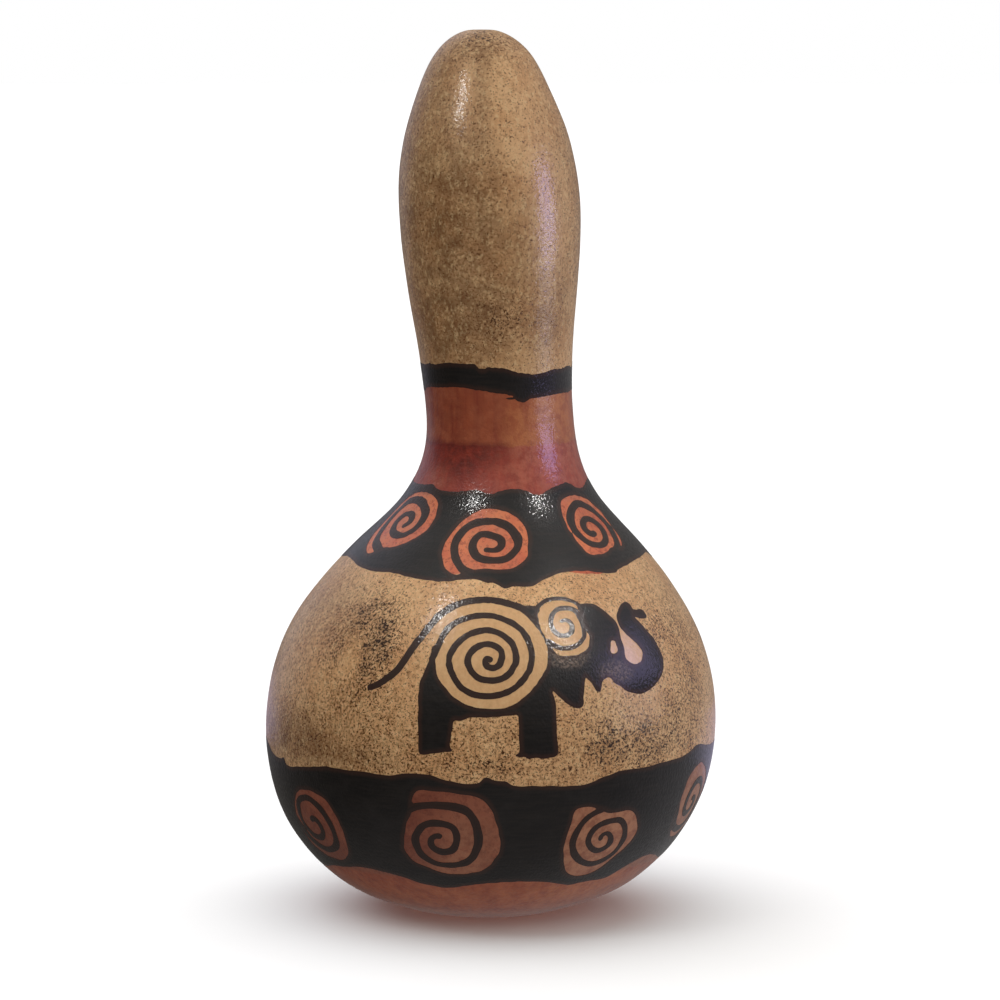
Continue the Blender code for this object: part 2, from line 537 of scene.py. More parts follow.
# %% [markdown]
# ### The shoulder band
#
# The shoulder band has three coils in front. Two wind outwards anticlockwise and the right one clockwise.
# Its edges rise and fall by a millimetre or two, as a loaded brush leaves them when the gourd is turned
# under it.

# %% The shoulder band and its coils
shoulder_top = freehand_edge([
    (-80, 150.5), (-60, 150.6), (-51, 151.2), (-45, 150.1), (-40, 149.7), (-30, 149.75), (-25, 150),
    (-15, 150.5), (-7.5, 149.4), (0, 150.5), (9, 150.9), (15, 150.5), (21, 149.2), (25, 149), (30, 150.1),
    (37.5, 151), (47.5, 151.8), (51, 151.2), (57.5, 149.9), (64, 149.75), (69, 150.3), (77.5, 151.2),
], 150.4, 0.8, 31)
shoulder_foot = freehand_edge([
    (-80, 123.85), (-70, 123.6), (-60, 122.4), (-50, 122), (-40, 122.35), (-32.5, 121.7), (-25, 121),
    (-19, 120.8), (-10, 121.9), (-2.5, 121.5), (1, 120.1), (3, 119.2), (6, 119.75), (12.5, 119.75),
    (16, 121.4), (22.5, 123.3), (27.5, 123.85), (35, 123.5), (42.5, 122.2), (48, 121.9), (50, 122.6),
    (57.5, 123.7), (62.5, 124.4), (72.5, 124.75), (85, 124.6),
], 122.8, 1.4, 32)
shoulder_coils = [
    dict(centre=(-55, 139), eye=(0, -0.5), turn=1, first_angle=-45, half_width=1.1,
         reaches=(1.1, 1.5, 2.3, 3.1, 3.7, 4.2, 4.1, 4.1, 5.2, 6, 6.6, 7.4, 8.7, 9.1, 9.9, 10.2),
         patch=(9.8, 10, 10.2, 10.3, 10.1, 10.3, 10.7, 11, 11.7, 12.7, 13.3, 12.6, 8.6, 8.7, 8.9, 9.6)),
    dict(centre=(-3, 134), eye=(0.2, -0.9), turn=1, first_angle=-135, half_width=1.1,
         reaches=(2, 1.6, 1.9, 2.4, 2.9, 3.3, 5.1, 5.3, 5.3, 4.8, 5.9, 6.8, 7, 8.1, 9.3, 10.4, 10.8, 10.9),
         patch=(9.6, 9.7, 10.4, 11.1, 12, 12.3, 11.9, 12, 13.2, 14.4, 13.8, 8.6, 7.7, 8.5, 9.9, 10.1)),
    dict(centre=(50, 137), eye=(0, -0.6), turn=-1, first_angle=-90, half_width=1.1,
         reaches=(1.1, 1.9, 2.4, 3.2, 3.9, 4, 4.3, 4.6, 5.2, 5.8, 6.2, 7.2, 8.9, 8.2, 8.6, 8.9, 9.6),
         patch=(10.3, 10.9, 11, 11.2, 11.5, 11.7, 10, 8.5, 8.1, 8.8, 10.1, 8.8, 7.7, 7, 10.2, 11.1)),
]
shoulder_coils += guessed_coils([(114, 1, 41), (178, -1, 42), (242, 1, 43)], 136, 10, half_width=1.1)
shoulder_band_paint = lay_band(
    "shoulder_band_paint", shoulder_foot, shoulder_top, (116, 155), 33, coils=shoulder_coils
)

# %% [markdown]
# ### The lower band
#
# The lower band has four larger coils in front, the last of them well round to the right. The band lies
# where the belly turns under, so its patches look a little squat from the front.

# %% The lower band and its coils
lower_top = freehand_edge([
    (-85, 68), (-79, 67.2), (-74, 65.7), (-68, 65.3), (-65.5, 66.2), (-64, 64.4), (-60, 64.5), (-56, 65.2),
    (-46, 66.7), (-36, 66.95), (-26, 66.6), (-22, 67.3), (-15, 67.45), (-10.6, 66.4), (-5, 65.5),
    (-2.8, 65.7), (-1, 67.3), (1, 66.6), (4, 66.2), (5.6, 65.1), (15, 64.75), (24, 64.4), (28, 65.8),
    (34, 67), (42, 67.3), (53, 67.7), (59, 68.3), (64, 69.75), (71, 68.7), (76, 67.9),
], 66.5, 1.3, 51)
lower_foot = freehand_edge([
    (-71, 31), (-59, 33.3), (-51, 34.4), (-41, 35.9), (-35, 35.7), (-27, 34), (-21, 31.9), (-17, 31.2),
    (-14, 30.7), (-12, 30.8), (-7, 31.8), (1, 33.3), (8, 33.7), (17, 33.3), (23, 31.8), (28, 30.8),
    (33, 31.4), (42, 31.6), (46, 34.3), (51, 36.8), (56, 37.9), (62, 36.8),
], 33.5, 1.8, 52)
lower_coils = [
    dict(centre=(-55, 48.5), eye=(0.8, 0.2), turn=-1, first_angle=135,
         reaches=(1.9, 1.9, 1.9, 2.2, 3.1, 4.2, 5.6, 7.3, 8.4, 7.9, 7.3, 7.4, 8.1, 8.4, 8.9, 10.5),
         patch=(11.5, 11.5, 11.7, 10.9, 10.3, 10.3, 10.2, 10.2, 10.1, 10.9, 11.2, 11.4, 11.6, 12.1, 12.2,
                11.5)),
    dict(centre=(-12, 49), eye=(-0.9, -0.2), turn=1, first_angle=90,
         reaches=(1.3, 1.7, 2.3, 3.1, 3.8, 4.5, 4.6, 5.6, 5.3, 6, 6.7, 7.6, 8.5, 9.9, 10.4, 11.9, 10.6,
                  12.2, 13),
         patch=(16.1, 16.5, 17.3, 15, 14.5, 15.3, 10.9, 9.8, 9.9, 10.9, 11.1, 10.8, 11.6, 12.9, 14.6,
                15.7)),
    dict(centre=(32, 48), eye=(0.2, -0.2), turn=-1, first_angle=-180, half_width=0.86,
         reaches=(0.7, 1, 1.4, 1.8, 2.4, 3.7, 4.2, 4, 4.5, 5, 5.1, 6.7, 7.2, 8.2, 9, 8.4, 9.1, 9.6, 10.4),
         patch=(11.4, 11.1, 10.6, 8.7, 7.9, 10.3, 14, 12, 11.2, 11.2, 12.3, 13.7, 13.3, 11.2, 9.6, 10.3)),
    dict(centre=(68, 50), eye=(0.5, 3), turn=-1, first_angle=90,
         reaches=(1.2, 1.6, 2.1, 2.7, 3.3, 4, 4.6, 5.3, 6.1, 6.6, 7, 7.6, 8.2, 8.8, 9.5),
         patch=(10.6, 10.9, 10.4, 10.5, 11.2, 11.4, 10.9, 9.8, 9, 9.3, 10, 10.6, 10.9, 11, 10.5, 10.4)),
]
lower_coils += guessed_coils(
    [(108, 1, 61), (148, -1, 62), (188, 1, 63), (228, -1, 64), (267, 1, 65)], 49, 11,
)
lower_band_paint = lay_band("lower_band_paint", lower_foot, lower_top, (27, 73), 57.5, coils=lower_coils)

# %% [markdown]
# ## The elephant
#
# Between the wide bands walks an elephant, a common folk figure. Its body is black with a big bare disc,
# and one long coil winds in the disc like the coils in the bands. The ear is a smaller disc with a coil of
# its own.
#
# It is drawn as a painter builds it: the mass of legs, belly and chest first, with the disc left bare, then
# the long line of back and tail, the ear, the head with its raised trunk, and last the coils. Each outline
# is a short list of places in millimetres right and up from the middle of the drawing.

# %% Outlines of the elephant's body
LEGS_BELLY_CHEST = [
    (-23.5, 10.8), (-24.4, 8.3), (-25.5, 5.2), (-26.7, 2.6), (-27.6, 0.2), (-28, -3), (-28.1, -9),
    (-28, -14), (-27.8, -17.7), (-27.2, -18.3), (-24, -17.9), (-21, -17.4), (-18.6, -17), (-19.3, -16),
    (-18.9, -12.5), (-18.45, -9.5), (-18.1, -9.15), (-16.2, -9.1), (-14.3, -8.2), (-9, -8.1), (-4, -7.7),
    (-1.7, -7.55), (-1.45, -7.9), (-1.3, -10), (-1.2, -14), (-1.1, -17.3), (-2.4, -18.1), (-0.9, -18.6),
    (0.4, -18.6), (1.1, -19.1), (3, -18.8), (5.5, -19.1), (7.6, -19), (9, -18.6), (9.25, -18), (9.1, -15),
    (8.8, -11), (8.75, -7), (8.5, -4), (7.8, -1.5), (9.5, -3), (12, -5.2), (14, -6.2), (15.7, -6.4),
    (16.3, -5.8), (16.35, -3.5), (16.7, -0.5), (16.95, 1.1), (18, 3), (18.5, 8), (10, 8), (6.5, 13),
    (4.7, 17.5), (4.9, 21.6), (3.8, 22.4), (0.5, 22.6), (-2.5, 22.8), (-2, 20), (-8, 12), (-18, 10),
]
BODY_DISC = [
    (-23.1, 5.5), (-22.9, 3.4), (-21.8, 1), (-19.9, -1.4), (-17.8, -3.3), (-15, -4.8), (-12, -5.6),
    (-8, -5.85), (-4.5, -5.5), (-1.8, -4.4), (0.4, -2.8), (2.7, -0.5), (4.6, 2.1), (6.2, 4.6), (6.7, 7.2),
    (6.8, 9.6), (6.4, 11.6), (5.4, 13.8), (4.2, 16), (2.7, 18.2), (1, 20), (-1, 21.6), (-3.5, 22.9),
    (-7, 23.5), (-11, 23.4), (-15, 22.5), (-19, 20.6), (-22, 17.5), (-22.9, 12.5), (-23.05, 9),
]
BACK_AND_TAIL = [
    (3.2, 20.6), (0.5, 21.8), (-2.5, 23.2), (-6, 24.2), (-9.5, 24.5), (-13.5, 24), (-17, 22.8), (-19.9, 21),
    (-22.7, 18.4), (-25.2, 15.3), (-27.8, 12), (-30.2, 8.8), (-32.4, 5.6), (-34.7, 2.9), (-37.4, 0.8),
    (-40.1, -0.9), (-42.6, -1.8),
]
DISC_EYE = (-8.55, 6.85)
BODY_COIL = (  # reaches from the eye of the disc, straight up at first, at each eighth of a turn
    0.4, 0.9, 1.2, 1.5, 1.8, 2.3, 2.9, 4.1, 4.7, 5.2, 5.9, 5.7, 5.3, 5.8, 6.8, 7.8, 8.7, 9.3, 10.9, 10.6,
    9.4, 9.7, 11, 12.2, 13, 14, 15.6,
)
print("the disc is", np.ptp(BODY_DISC, axis=0).round(1), "mm wide and high")

# %% Outlines of its head
EAR = [
    (4.7, 20.4), (4.7, 18.6), (5.6, 16.4), (6.8, 14.1), (8, 12.2), (9.4, 10.4), (10.8, 9), (12.4, 8),
    (14, 7.75), (16, 8.3), (17.7, 9.2), (18.5, 10.6), (18.7, 12.8), (17.9, 14.3), (17.1, 16.4),
    (16.7, 18.6), (16.2, 20.6), (15, 22.4), (13, 23.3), (10.4, 23.6), (8, 23.1), (6, 21.9),
]
EAR_EDGE = [
    (3.8, 20.8), (4.8, 22.4), (6.6, 23.8), (9, 24.4), (12, 24.2), (14.4, 23.3), (16.4, 21.8),
]
EAR_COIL = [
    (10.9, 17.7), (12.4, 17.9), (13.8, 16.4), (13.6, 14.5), (12.3, 13.5), (9.9, 13.9), (8.2, 16),
    (8.1, 18.8), (9.6, 21), (12, 21.5), (14.6, 20.9), (16.2, 18.5), (17.1, 15.5), (17.2, 12.9),
    (15.2, 10.8), (12.2, 9.9), (9.2, 10.5), (7, 12),
]
HEAD_AND_TRUNK = [
    (15.6, 21.6), (16.3, 22.2), (18.5, 22.4), (20.6, 22.1), (22.4, 21), (24.4, 19.3), (26.4, 17.4),
    (27.6, 16), (28.2, 14.4), (28.45, 12.5), (28.8, 10.4), (29.5, 8.6), (29.5, 7), (29.8, 5.6), (31, 4.4),
    (33, 3.85), (35, 4.6), (35.9, 6.2), (35.5, 7.6), (34.2, 9), (32, 11.1), (29.9, 13.1), (28.8, 14.4),
    (28.15, 16), (28, 17.6), (28.6, 19.4), (29.8, 20.8), (31.4, 21.6), (33, 21), (34, 19.6), (34.4, 18),
    (34.6, 16.6), (36.5, 14.8), (38.6, 12.6), (41, 10), (42.8, 7), (43.8, 4.6), (44, 2.4), (43, 0.1),
    (41, -1.8), (38, -3.4), (35, -4.2), (32, -3.9), (29.8, -3), (27.8, -1.8), (25.6, -0.5), (24.2, 1.1),
    (22.9, 0.9), (22, 0.2), (21.6, -1.1), (21.3, -2.45), (20.3, -2.4), (19.5, -1.1), (18.5, 0.3),
    (17.1, 1.6), (15.5, 3.5), (14, 9), (16, 15),
]
TRUNK_FINGER = [
    (33.8, 19), (35.6, 18.75), (37.4, 18.75), (38.7, 18), (39.6, 16.4), (39.2, 15.95), (37.4, 16.05),
    (35.4, 16.6), (33.8, 17.2),
]
EYE = [
    (25.5, 11), (26.5, 10.8), (27, 9.5), (27.15, 8), (26.5, 7.3), (25.4, 7.4), (24.9, 8.2), (25.1, 9.8),
]
TRUNK_LOOP = [  # the bare skin that the raised trunk goes round
    (27.5, 18), (29.5, 18.5), (36.5, 8.5), (36.5, 5), (33, 2.8), (28.5, 5), (28, 11),
]
length = max(HEAD_AND_TRUNK)[0] - min(BACK_AND_TAIL)[0]
print("the elephant is", round(length, 1), "mm long from tail to trunk")

# %% [markdown]
# A stroke of the brush has one width where it lands, another along its length and a third where it lifts.
# The order of the steps below is the order of painting. The same elephant is laid in front and, as a guess,
# once more behind.

# %% The elephant as one depth, and its film
STROKE_PARTS = (0, 0.08, 0.9, 1)  # where the brush lands, is full, begins to lift and leaves
DRYING = 0.92  # how much of its width a stroke keeps until the brush begins to lift
ELEPHANT_STEP = 0.37
ELEPHANT_RADIUS = 56  # of the wall there, in mm
HALF_SPAN = 0.87  # of the grid, in radians
BELOW, ABOVE = -20.5, 26.5  # how far the grid reaches down and up, in mm
FINER_WOBBLE, WOBBLE_SHARE = 1.9, 0.55
ELEPHANT_PLACES = [(8, 91.15), (188, 91.15)]  # azimuth and distance along of the middle


def tapered_depth(u, v, points, first, middle, last):
    """The depth inside a stroke through these points, from its half widths at the ends and in the middle."""
    line = flowing(points)
    widths = [first, middle, DRYING * middle, last]
    return stroke_depth(u, v, line, np.interp(np.linspace(0, 1, len(line)), STROKE_PARTS, widths))


def elephant_depth(u, v):
    """The depth inside the elephant's black paint."""
    body_coil = swung(DISC_EYE, BODY_COIL, TURN / 4 + EIGHTH * np.arange(len(BODY_COIL)))
    black = np.minimum(filled_depth(u, v, LEGS_BELLY_CHEST), -filled_depth(u, v, BODY_DISC))
    black = np.maximum(black, tapered_depth(u, v, BACK_AND_TAIL, 1, 1, 0.75))
    black = np.maximum(black, tapered_depth(u, v, EAR_EDGE, 0.7, 0.6, 0.6))
    for outline in (HEAD_AND_TRUNK, TRUNK_FINGER):
        black = np.maximum(black, filled_depth(u, v, outline))
    for bare in (EAR, EYE):
        black = np.minimum(black, -filled_depth(u, v, bare))
    black = np.maximum(black, tapered_depth(u, v, body_coil, 0.75, 0.9, 0.85))
    return np.maximum(black, tapered_depth(u, v, EAR_COIL, 0.5, 0.7, 0.8))


def paint_elephant(name, centre):
    """Lays the elephant's film on the wall round a centre (azimuth in degrees, distance along)."""
    step_round = ELEPHANT_STEP / ELEPHANT_RADIUS
    azimuths = math.radians(centre[0]) + np.arange(-HALF_SPAN, HALF_SPAN, step_round)
    alongs = centre[1] + np.arange(BELOW, ABOVE, ELEPHANT_STEP)
    places_round, places_up = np.meshgrid(azimuths, alongs)
    wobble = WOBBLE_SHARE * brush_wobble(FINER_WOBBLE * places_round, FINER_WOBBLE * places_up)
    depth = elephant_depth(*flat_place(places_round, places_up, centre)) + wobble
    return lay_paint(name, azimuths, alongs, depth)


elephant_front_paint = paint_elephant("elephant_front_paint", ELEPHANT_PLACES[0])
elephant_back_paint = paint_elephant("elephant_back_paint", ELEPHANT_PLACES[1])

# %% [markdown]
# ## Where the skin is stained and spattered
#
# Under the black, terracotta stain runs from the neck band down to the foot of the shoulder band, and again
# from the top of the lower band over the foot. The stain soaked in, so it has no thickness and belongs in
# the skin's own material. Its edges are kept as a depth at every point of the skin, as the paint's were,
# and the material turns the depth into a sharp edge. The patches in the bands took a stain of their own,
# and a second coat was laid low on the neck.

# %% Depths of the stain, kept on the skin's points
UNDER_BLACK, UNDER_SHOULDER = 2, 2.2  # how far short of a band's far edge the stain stops, in mm
PEEP_AT, PEEP_WIDTH, PEEP_DEPTH = 34.5, 8, 3.1  # a tongue of stain that shows below the shoulder band
SECOND_COAT = (149, 162.6)  # from and to, in mm along the wall
HIGH_PATCHES = (110, 148.5)
LOW_PATCHES = (34, 64)


def keep_on_points(name, values):
    """Stores one number for each point of the skin, for its material to read."""
    kept = gourd_skin.data.attributes.new(name, "FLOAT", "POINT")
    kept.data.foreach_set("value", np.ascontiguousarray(values, dtype=np.float32))
    print(name, "from", round(float(values.min()), 2), "to", round(float(values.max()), 2))


def within(stretch):
    """How far each point of the skin is inside a stretch of the wall, in mm."""
    return np.minimum(stretch[1] - skin_alongs, skin_alongs - stretch[0])


degrees_round = (np.degrees(skin_azimuths) + 180) % 360 - 180
peeping_out = PEEP_DEPTH * np.exp(-0.5 * ((degrees_round - PEEP_AT) / PEEP_WIDTH) ** 4)
below_neck_band = neck_top(skin_azimuths) - UNDER_BLACK - skin_alongs
above_shoulder_foot = skin_alongs - shoulder_foot(skin_azimuths) - UNDER_SHOULDER + peeping_out
stained_foot = lower_top(skin_azimuths) - UNDER_BLACK - skin_alongs
stained_neck = np.minimum(below_neck_band, above_shoulder_foot)
keep_on_points("stain_depth", np.maximum(stained_neck, stained_foot))
keep_on_points("second_coat_depth", within(SECOND_COAT))
keep_on_points("patch_stain_depth", np.maximum(within(HIGH_PATCHES), within(LOW_PATCHES)))

# %% [markdown]
# Fine black drops were flicked over the tan skin in clouds, and brown haze lies over the neck and in patches
# on the belly. The haze clouds also lay painted shade on the left of the neck and on the edges of the belly,
# most on the left and low down, and two negative ones on the neck leave it lighter as a painted highlight.
# The stain soaked in darker at some places and paler at others; on the waist its pale clouds on the right are
# partly painted light and its dark clouds on the left partly painted shade. Each cloud is a soft oval, and
# the material reads the sum of the ovals of each kind. A negative strength thins the clouds that it lies on.
# The side that no measure reaches gets seeded clouds of the same kind.

# %% Clouds of spatter, haze and stain
clouds = {  # azimuth and distance along of the middle, half width in degrees, half height in mm, strength
    "spatter": [
        (-34, 100.5, 4, 6, 2.4), (-32.5, 99, 3, 5, 0.5), (-41, 96.5, 3, 3, -0.6), (-38, 107, 9, 7, 0.5),
        (-42, 110, 8, 5, 0.7), (-49, 96, 5, 3, 0.7), (-52, 103, 6, 5, 0.3), (-36, 87, 8, 3.5, 0.5),
        (-55, 82, 16, 9, 0.16), (-30, 78, 18, 7, 0.36), (-72, 104, 12, 16, 0.2), (-50, 74, 16, 6, 0.3),
        (2, 77, 14, 8, 0.36), (32, 79, 10, 5.5, 0.5), (30, 73, 12, 4, 0.28), (44, 74, 10, 4.5, 0.5),
        (54, 79, 9, 7, 0.35), (38, 78, 18, 7, 0.2), (62, 82, 9, 10, 0.45), (0, 69, 60, 4, 0.42),
        (66, 101, 8, 12, 0.5), (53, 104, 7, 6, 0.5), (22, 115, 14, 4, 0.15), (85, 90, 12, 16, 0.2),
        (0, 95, 90, 30, 0.12), (6, 196.5, 15, 5, 0.7), (-12, 232, 22, 20, 0.1), (2, 252, 22, 12, 0.1),
        (8, 277, 70, 7, 0.7), (-30, 215, 30, 30, 0.06),
    ],
    # Brown haze, and painted shade on the left and the lower edges; the two negative clouds on the neck leave
    # painted highlights.
    "haze_and_shade": [
        (-22, 211, 34, 28, 1.2), (-60, 235, 30, 30, 0.6), (-10, 195, 14, 8, 0.5), (36, 194, 14, 9, 0.6),
        (-4, 262, 7, 14, 0.5), (0, 274, 40, 6, 0.9), (-56, 191, 14, 9, 1.6), (-20, 216, 18, 15, 0.7),
        (24, 213, 12, 6, 0.4), (60, 250, 15, 25, 0.15), (-50, 214, 16, 20, 0.5), (-56, 262, 14, 9, 0.5),
        (20, 252, 9, 12, -0.8), (-12, 262, 9, 8, -0.4), (50, 200, 14, 9, 0.6), (-20, 194, 12, 8, 0.5),
        (-46, 101, 18, 13, 0.1), (35, 76, 22, 9, 0.08), (64, 92, 14, 20, 0.08), (-40, 76, 30, 9, 0.1),
        (-60, 110, 14, 9, 0.5), (70, 112, 16, 8, 0.15), (-62, 72.5, 16, 5, 1.6), (-45, 70, 12, 2.5, 0.8),
        (-78, 92, 14, 25, 0.35),
    ],
    # Dark stain; the clouds on the left of the waist are partly painted shade.
    "dark_stain_and_shade": [
        (-46, 171, 18, 10, 1.4), (-27, 159.3, 13, 3.5, 2.2), (-50, 155, 14, 7, 0.7),
        (-10, 171, 10, 8, 0.55), (0, 160.5, 26, 1.6, 0.7), (55, 140, 8, 9, 1), (-20, 50, 6, 9, 1.8),
        (-14, 61, 10, 3, 1.6), (-55, 48, 12, 12, 0.8),
    ],
    # Pale stain; the clouds on the right of the waist are partly painted light from the right.
    "pale_stain_and_light": [
        (46, 174, 18, 5.5, 2), (17, 168, 10, 7, 0.8), (48, 164, 26, 4, 1), (12, 154, 12, 4, 0.45),
        (44, 155, 24, 8, 0.7), (-50, 152, 10, 3, 0.6), (-6, 47, 6, 8, 0.5), (-10, 38, 8, 4, 0.35),
        (32, 48, 14, 14, 1.7), (68, 50, 12, 12, 1.2), (-3, 134, 12, 12, 0.5), (-55, 138, 13, 8, 0.45),
        (8, 26, 60, 5, 0.3),
    ],
}
CLOUDS_BEHIND_BELLY, CLOUDS_BEHIND_NECK = 16, 9
cloud_rng = np.random.default_rng(71)
for _ in range(CLOUDS_BEHIND_BELLY):
    azimuth, strength = cloud_rng.uniform(95, 265), cloud_rng.uniform(0.3, 0.7)
    wide, tall = cloud_rng.uniform(8, 22), cloud_rng.uniform(6, 14)
    clouds["spatter"].append((azimuth, cloud_rng.uniform(74, 114), wide, tall, strength))
for _ in range(CLOUDS_BEHIND_NECK):
    azimuth, along = cloud_rng.uniform(90, 270), cloud_rng.uniform(190, 275)
    clouds["spatter"].append((azimuth, along, cloud_rng.uniform(18, 40), cloud_rng.uniform(9, 24), 0.4))
    clouds["haze_and_shade"].append((azimuth, along, 35, 22, 0.35))
print("clouds:", {name: len(ovals) for name, ovals in clouds.items()})

# %% The sum of the clouds, and the places that stay clean
CLOUD_FALL = 0.7  # how fast an oval thins away from its middle
NO_DEPTH = -5  # the depth, in mm, where no bare place is near
BELLY = (68, 120)  # from and to, in mm along the wall


def cloudiness(azimuths, alongs, ovals):
    """The summed strength of soft ovals, from 0 to 1."""
    total = np.zeros(azimuths.shape)
    for azimuth, along, wide, tall, strength in ovals:
        turned = (np.degrees(azimuths) - azimuth + 180) % 360 - 180
        total += strength * np.exp(-CLOUD_FALL * ((turned / wide) ** 2 + ((alongs - along) / tall) ** 2))
    return 1 - np.exp(-np.maximum(total, 0))


for name, ovals in clouds.items():
    keep_on_points(name, cloudiness(skin_azimuths, skin_alongs, ovals))
near_elephants = np.flatnonzero(within(BELLY) > 0)
clean = np.full(skin_alongs.shape, NO_DEPTH, dtype=float)
for centre in ELEPHANT_PLACES:
    u, v = flat_place(skin_azimuths[near_elephants], skin_alongs[near_elephants], centre)
    for outline in (BODY_DISC, EAR, EYE, TRUNK_LOOP):
        clean[near_elephants] = np.maximum(clean[near_elephants], filled_depth(u, v, outline))
keep_on_points("clean_depth", clean)

# %% [markdown]
# ## How a finish is built
#
# A finish in Blender is a tree of nodes. It could be joined up by hand in the shader editor, but a script
# keeps it readable and gives the same finish each time. `Tree` holds a tree under way, and each of its
# methods adds a node and hands back what comes out of it. `shade` turns a paint-chart colour into the
# linear numbers that Blender mixes.

# %% Colours and trees of nodes
def shade(red, green, blue):
    """A colour from 0 to 255 a channel, as the linear colour that materials use."""
    def linear(value):
        value = value / 255
        return value / 12.92 if value <= 0.04045 else ((value + 0.055) / 1.055) ** 2.4
    return linear(red), linear(green), linear(blue), 1


class Tree:
    """The tree of nodes of a material or a world, while it is being built."""

    def __init__(self, owner):
        owner.use_nodes = True
        self.tree = owner.node_tree
        self.tree.nodes.clear()

    def put(self, kind, inputs=None, output=0, **settings):
        """Adds a node, sets it, sets or joins its inputs, and hands back one output if it has any."""
        made = self.tree.nodes.new("ShaderNode" + kind)
        for name, value in settings.items():
            setattr(made, name, value)
        for socket, value in (inputs or {}).items():
            if isinstance(value, bpy.types.NodeSocket):
                self.tree.links.new(value, made.inputs[socket])
            else:
                made.inputs[socket].default_value = value
        return made.outputs[output] if made.outputs else None

    def scaled(self, vector, by):
        """A place or a colour made larger or stronger."""
        return self.put("VectorMath", {0: vector, "Scale": by}, operation="SCALE")

    def ramp(self, value, low, high, to_low=0, to_high=1, easing="SMOOTHSTEP"):
        """The value read on a scale from low to high, clamped at both ends."""
        inputs = {"Value": value, "From Min": low, "From Max": high, "To Min": to_low, "To Max": to_high}
        return self.put("MapRange", inputs, interpolation_type=easing)

    def plus(self, first, *others, operation="ADD"):
        """Numbers added, or combined in another way."""
        for other in others:
            first = self.put("Math", {0: first, 1: other}, operation=operation)
        return first

    def times(self, *numbers):
        """Numbers multiplied."""
        return self.plus(*numbers, operation="MULTIPLY")

    def minus(self, first, second):
        """One number less another."""
        return self.plus(first, second, operation="SUBTRACT")

    def mix(self, share, first, second):
        """Two colours mixed by a share."""
        return self.put("Mix", {0: share, 6: first, 7: second}, output=2, data_type="RGBA")

    def tint(self, colour, other, value, low, high, to_low=0, to_high=1):
        """A colour mixed with another one by a value read on a scale."""
        return self.mix(self.ramp(value, low, high, to_low, to_high), colour, other)


print("the dark brown of the drops, linear:", [round(value, 3) for value in shade(50, 26, 2)[:3]])

# %% [markdown]
# A material also reads the object: the place on it, in millimetres, and the numbers kept on its points.
# Every pattern is a noise over that place, so it has a true size and runs through the whole skin without a
# seam.

# %% Finishes that read the object
class Finish(Tree):
    """A material under way. Its patterns are read at the place on the object, in mm."""

    def __init__(self, name):
        self.material = bpy.data.materials.new(name)
        super().__init__(self.material)
        self.place = self.scaled(self.put("TexCoord", output="Object"), 1 / MM)

    def stretched(self, scale, place=None):
        """The place measured in other steps along x, y and z, which stretches every pattern read there."""
        return self.put("Mapping", {"Vector": place or self.place, "Scale": scale})

    def noise(self, size, detail=3, roughness=0.5, place=None):
        """Soft noise with lumps of about this size in mm, from 0 to 1."""
        inputs = {"Vector": place or self.place, "Scale": 1 / size, "Detail": detail, "Roughness": roughness}
        return self.put("TexNoise", inputs, output="Fac")

    def kept(self, name):
        """A number kept on the mesh's points."""
        return self.put("Attribute", output="Fac", attribute_name=name)

    def surface(self, inputs):
        """Ends the tree: a surface with these inputs goes to its output."""
        self.put("OutputMaterial", {"Surface": self.put("BsdfPrincipled", inputs)})

    def varnished(self, colour, roughness, relief, relief_height, coat, coat_roughness, specular):
        """Ends the tree with a relief of some mm under a clear coat."""
        normal = self.put("Bump", {"Height": relief, "Strength": 1, "Distance": relief_height * MM})
        self.surface({
            "Base Color": colour, "Roughness": roughness, "Normal": normal, "Coat Normal": normal,
            "Coat Weight": coat, "Coat Roughness": coat_roughness, "Specular IOR Level": specular,
        })

    def put_on(self, piece):
        """Gives the finish to a piece."""
        piece.data.materials.clear()
        piece.data.materials.append(self.material)
        print(self.material.name, "with", len(self.tree.nodes), "nodes on", piece.name)


# %% [markdown]
# ## The finish of the skin
#
# The skin's colour is laid down in the order in which the maker worked. First comes the dry tan shell.
# Large soft noise mottles it, the haze clouds turn it brown and darken its shaded sides as painted shade, and
# fine noise adds dark and bleached flecks.

# %% The dry shell
skin = Finish("varnished_gourd_skin")
mottle = skin.noise(14, 4, 0.6)
cloudy = skin.noise(5, 3, 0.6)
fine_mottle = skin.noise(1.2, 3, 0.7, skin.stretched((1, 1, 0.75)))
tan = skin.tint(shade(246, 199, 145), shade(230, 177, 123), mottle, 0.35, 0.65)
haze_and_shade = skin.kept("haze_and_shade")
# Brown haze, and where the clouds lie on the shaded sides, painted shade.
tan = skin.mix(skin.times(haze_and_shade, skin.ramp(cloudy, 0.3, 0.75, 0.55, 1.15)), tan, shade(136, 99, 62))
tan = skin.tint(tan, shade(156, 112, 72), fine_mottle, 0.45, 0.72, 0, 0.35)
tan = skin.tint(tan, shade(252, 220, 166), fine_mottle, 0.32, 0.5, 0.5, 0)
print("nodes of the shell:", len(skin.tree.nodes))

# %% [markdown]
# Next comes the terracotta stain, brushed up and down in streaks. The second coat low on the neck is
# redder, and a dark tide line dried along its edge.

